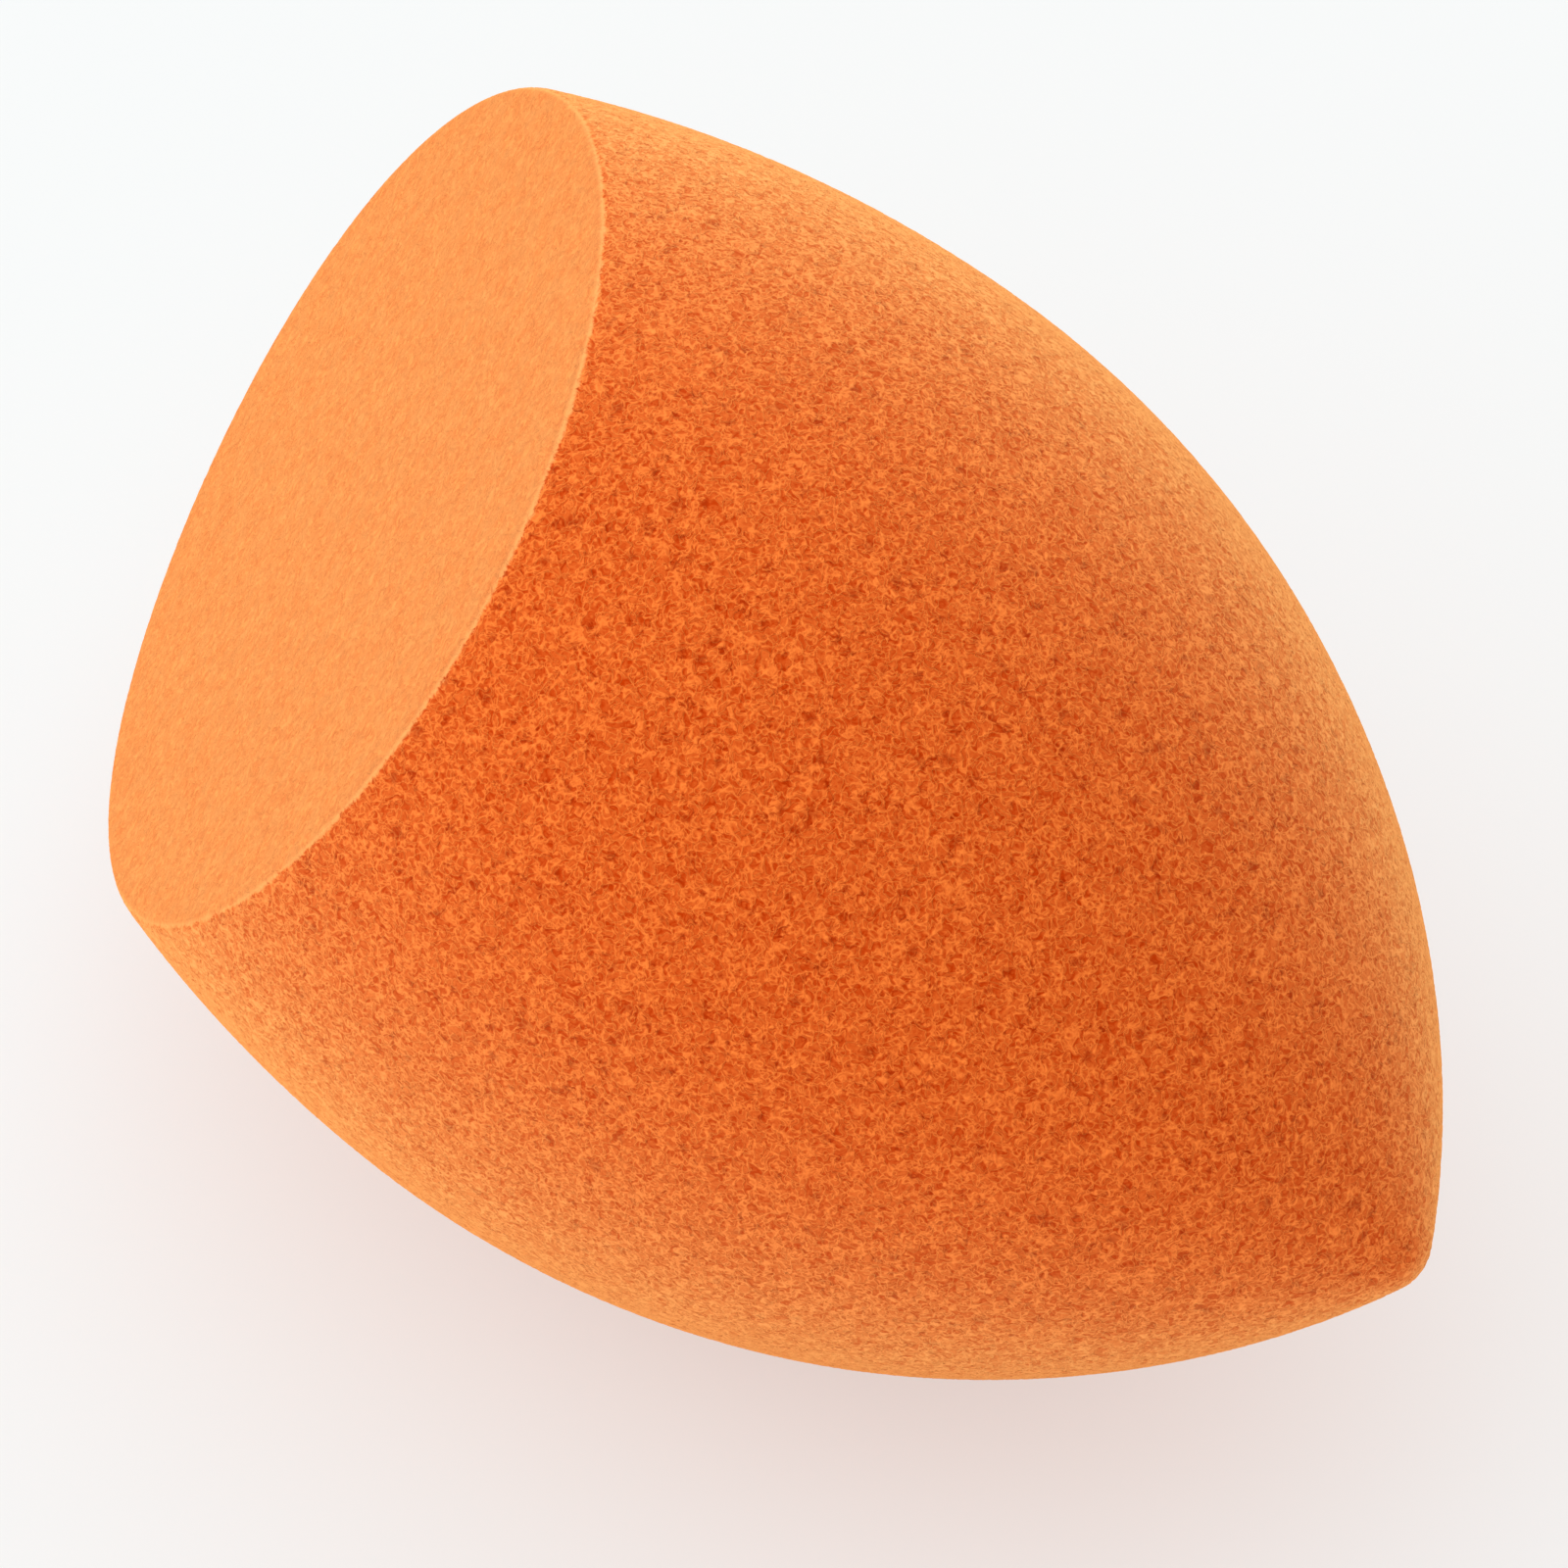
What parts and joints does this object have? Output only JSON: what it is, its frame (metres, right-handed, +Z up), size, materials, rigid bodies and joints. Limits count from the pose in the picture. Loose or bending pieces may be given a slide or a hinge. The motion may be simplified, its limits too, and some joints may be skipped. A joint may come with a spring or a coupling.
{
  "type": "makeup sponge",
  "caption": "Drop-shaped open-cell foam makeup sponge with a blunt tip at one end and a slanted flat cut at the other, lying on its side.",
  "frame": {"origin": "centre of the bounding box's underside, on the surface that the sponge lies on", "axes": "+X along the sponge towards its tip, +Z up, the slanted flat faces -X, -Y and up"},
  "size_m": [0.063, 0.04, 0.0399],
  "materials": {
    "orange_foam": "matte, open cells"
  },
  "bodies": {
    "root": {"sponge_body": "orange_foam"}
  },
  "joints": []
}
